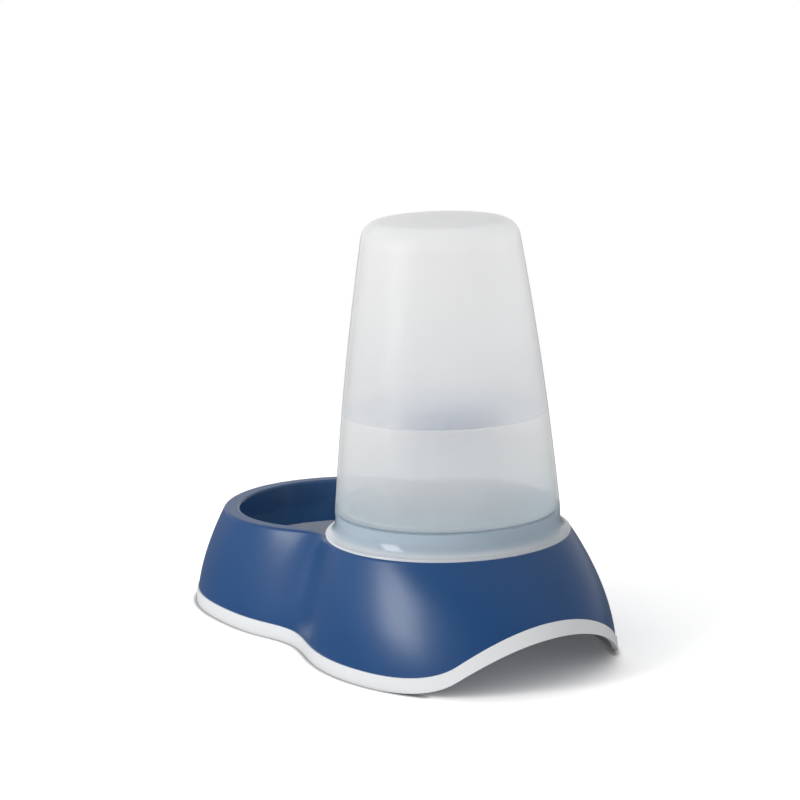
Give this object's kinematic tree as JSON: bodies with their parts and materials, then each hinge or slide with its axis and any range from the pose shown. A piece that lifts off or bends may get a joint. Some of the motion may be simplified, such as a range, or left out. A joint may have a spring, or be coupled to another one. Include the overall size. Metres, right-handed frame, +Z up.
{
  "type": "pet water dispenser",
  "caption": "Gravity water dispenser for pets: a tapered translucent reservoir stands upside down on a flared base with a drinking bowl, a finger arch and a pale soft rim.",
  "frame": {"origin": "on the floor, midway between the two ends of the base and on its long axis", "axes": "+X points from the reservoir to the bowl, along the longest side; +Z is up; +Y completes a right-handed frame"},
  "size_m": [0.3192, 0.164, 0.2413],
  "materials": {
    "base_plastic": "satin",
    "rim_soft": "matte",
    "reservoir_frosted": "frosted, translucent",
    "lid_translucent": "glossy, translucent",
    "seal_rubber": "matte",
    "valve_plastic": "satin",
    "spring_steel": "drawn wire"
  },
  "bodies": {
    "base": {"base_body": "base_plastic", "non_slip_rim": "rim_soft"},
    "lid": {"reservoir_lid": "lid_translucent", "valve_spring": "spring_steel"},
    "valve": {"valve_plunger": "valve_plastic", "valve_seal": "seal_rubber", "valve_clip": "valve_plastic"},
    "gasket": {"lid_gasket": "seal_rubber"},
    "bottle": {"reservoir": "reservoir_frosted"}
  },
  "joints": [
    {"name": "reservoir_lift", "type": "slide", "parent": "base", "child": "lid", "axis": [0, 0, 1], "range_m": [0, 0.036]},
    {"name": "valve_slide", "type": "slide", "parent": "lid", "child": "valve", "axis": [0, 0, 1], "range_m": [-0.0036, 0], "deforming": ["valve_spring"]},
    {"name": "unscrew_turn", "type": "hinge", "parent": "lid", "child": "gasket", "pos_m": [-0.05334, 0, 0.0655], "axis": [0, 0, 1], "range_deg": [0, 900]},
    {"name": "unscrew_rise", "type": "slide", "parent": "gasket", "child": "bottle", "axis": [0, 0, 1], "range_m": [0, 0.015]}
  ],
  "couplings": [
    {"joint": "valve_slide", "follows": "reservoir_lift", "ratio": -0.1},
    {"joint": "unscrew_rise", "follows": "unscrew_turn", "m_per_rad": 0.00095493}
  ]
}
